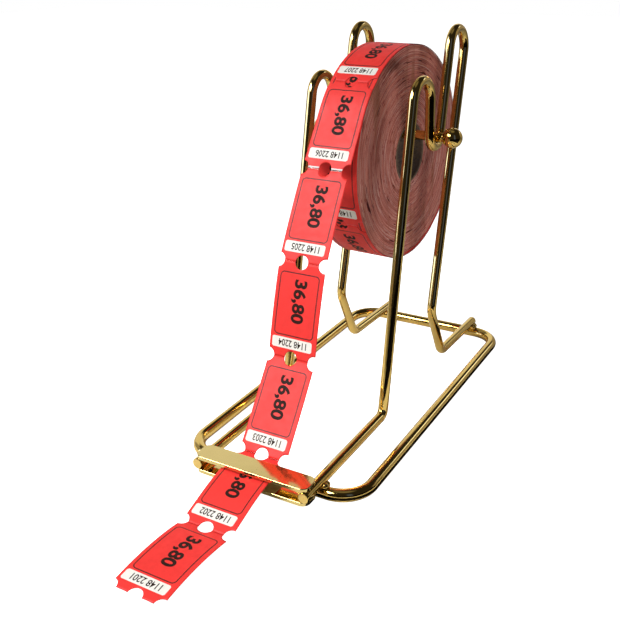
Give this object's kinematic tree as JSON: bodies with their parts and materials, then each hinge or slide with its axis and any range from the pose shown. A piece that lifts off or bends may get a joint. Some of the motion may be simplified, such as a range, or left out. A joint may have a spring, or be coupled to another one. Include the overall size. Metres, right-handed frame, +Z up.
{
  "type": "counter ticket roll stand",
  "caption": "Wire counter stand that holds a roll of tickets on a lift-out rod and leads the strip through a slotted tear bar at the front.",
  "frame": {"origin": "middle of the footprint, on the counter: the bottom centre of the bounding box, strip included", "axes": "+Z up from the counter, -Y to the front, where the strip comes out of the slot, +X to the right seen from the front"},
  "size_m": [0.116, 0.3366, 0.2295],
  "materials": {
    "brass_wire": "polished brass plate",
    "brass_plate": "satin to polished brass plate",
    "brass_ball": "polished brass plate",
    "weld_metal": "plated over, uneven",
    "core_card": "plain",
    "roll_paper": "cut edges of wound paper",
    "ticket_paper": "matte, printed"
  },
  "bodies": {
    "stand": {"base_loop": "brass_wire", "left_side_frame": "brass_wire", "right_side_frame": "brass_wire", "tear_bar": "brass_plate", "guide_plate": "brass_plate", "front_left_weld": "weld_metal", "front_right_weld": "weld_metal", "rear_left_weld": "weld_metal", "rear_right_weld": "weld_metal", "ticket_5": "ticket_paper", "ticket_4": "ticket_paper", "ticket_3": "ticket_paper", "ticket_2": "ticket_paper"},
    "axle": {"axle_rod": "brass_wire", "left_ball_knob": "brass_ball", "right_ball_knob": "brass_ball", "ticket_6_tail": "ticket_paper"},
    "roll": {"roll_core": "core_card", "ticket_roll": "roll_paper", "outer_turn": "ticket_paper"},
    "first_ticket": {"ticket_1": "ticket_paper"}
  },
  "joints": [
    {"name": "axle_lift", "type": "slide", "parent": "stand", "child": "axle", "axis": [0, 0, 1], "range_m": [0, 0.06]},
    {"name": "roll_spin", "type": "hinge", "parent": "axle", "child": "roll", "pos_m": [0.0002, 0.09105, 0.15161], "axis": [0.9984, -0.0558, 0], "continuous": true},
    {"name": "first_ticket_fold", "type": "hinge", "parent": "stand", "child": "first_ticket", "pos_m": [-0.003, -0.11404, 0.002], "axis": [-1, 0, 0], "range_deg": [0, 60]}
  ]
}
